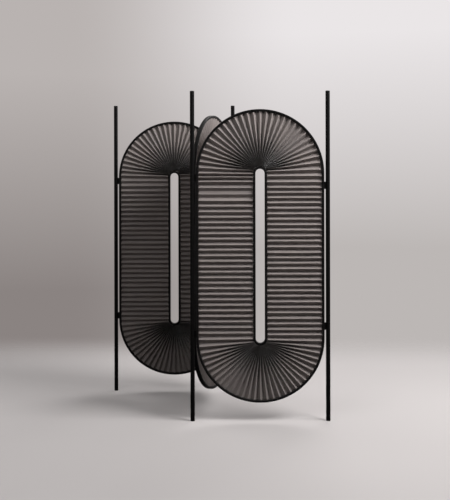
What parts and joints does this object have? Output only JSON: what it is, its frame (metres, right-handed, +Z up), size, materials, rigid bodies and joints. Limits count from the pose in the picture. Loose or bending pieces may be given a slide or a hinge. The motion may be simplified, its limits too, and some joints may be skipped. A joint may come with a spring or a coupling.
{
  "type": "folding screen",
  "caption": "Free-standing folding screen: loop-shaped panels of radially pleated cloth with a central slot, hinged in a Z between slim round posts.",
  "frame": {"origin": "on the floor, under the middle of the middle panel, which is also the middle of the whole screen as it stands folded", "axes": "+Z up; +X along the front panel, from the front hinge post to the right end post; +Y away from the viewer, so that the front panel faces -Y"},
  "size_m": [1.2754, 0.7306, 1.8],
  "materials": {
    "frame_bar": "satin black powder coat on rolled bar",
    "post_steel": "satin black powder coat on steel tube",
    "black_rod": "matt black paint",
    "pleated_cloth": "woven, heat-set in knife-edge accordion pleats",
    "cloth_band": "stiff woven tape",
    "screw_steel": "black zinc",
    "polymer": "moulded, black"
  },
  "bodies": {
    "front_panel": {"front_frame": "frame_bar", "front_slot_frame": "frame_bar", "front_pleated_cloth": "pleated_cloth", "front_frame_band": "cloth_band", "front_slot_band": "cloth_band", "front_spreader_rods": "black_rod", "front_left_leaves": "post_steel", "front_right_leaves": "post_steel", "front_leaf_screws": "screw_steel", "front_hinge_washers": "polymer", "front_grub_screws": "screw_steel", "right_end_post_core_tube": "post_steel", "right_end_post_bottom_sleeve": "post_steel", "right_end_post_middle_sleeve": "post_steel", "right_end_post_top_sleeve": "post_steel", "right_end_post_top_cap": "polymer", "right_end_post_foot_glide": "polymer", "front_hinge_post_core_tube": "post_steel", "front_hinge_post_bottom_sleeve": "post_steel", "front_hinge_post_middle_sleeve": "post_steel", "front_hinge_post_top_sleeve": "post_steel", "front_hinge_post_top_cap": "polymer", "front_hinge_post_foot_glide": "polymer"},
    "middle_panel": {"middle_frame": "frame_bar", "middle_slot_frame": "frame_bar", "middle_pleated_cloth": "pleated_cloth", "middle_frame_band": "cloth_band", "middle_slot_band": "cloth_band", "middle_spreader_rods": "black_rod", "middle_left_leaves": "post_steel", "middle_right_leaves": "post_steel", "middle_leaf_screws": "screw_steel", "middle_hinge_washers": "polymer", "middle_grub_screws": "screw_steel", "back_hinge_post_core_tube": "post_steel", "back_hinge_post_bottom_sleeve": "post_steel", "back_hinge_post_middle_sleeve": "post_steel", "back_hinge_post_top_sleeve": "post_steel", "back_hinge_post_top_cap": "polymer", "back_hinge_post_foot_glide": "polymer"},
    "back_panel": {"back_frame": "frame_bar", "back_slot_frame": "frame_bar", "back_pleated_cloth": "pleated_cloth", "back_frame_band": "cloth_band", "back_slot_band": "cloth_band", "back_spreader_rods": "black_rod", "back_left_leaves": "post_steel", "back_right_leaves": "post_steel", "back_leaf_screws": "screw_steel", "back_hinge_washers": "polymer", "back_grub_screws": "screw_steel", "left_end_post_core_tube": "post_steel", "left_end_post_bottom_sleeve": "post_steel", "left_end_post_middle_sleeve": "post_steel", "left_end_post_top_sleeve": "post_steel", "left_end_post_top_cap": "polymer", "left_end_post_foot_glide": "polymer"}
  },
  "joints": [
    {"name": "front_fold", "type": "hinge", "parent": "front_panel", "child": "middle_panel", "pos_m": [-0.11434, -0.35189, 0.9], "axis": [0, 0, 1], "range_deg": [-8, 224]},
    {"name": "back_fold", "type": "hinge", "parent": "middle_panel", "child": "back_panel", "pos_m": [0.11434, 0.35189, 0.9], "axis": [0, 0, -1], "range_deg": [-8, 224]}
  ]
}
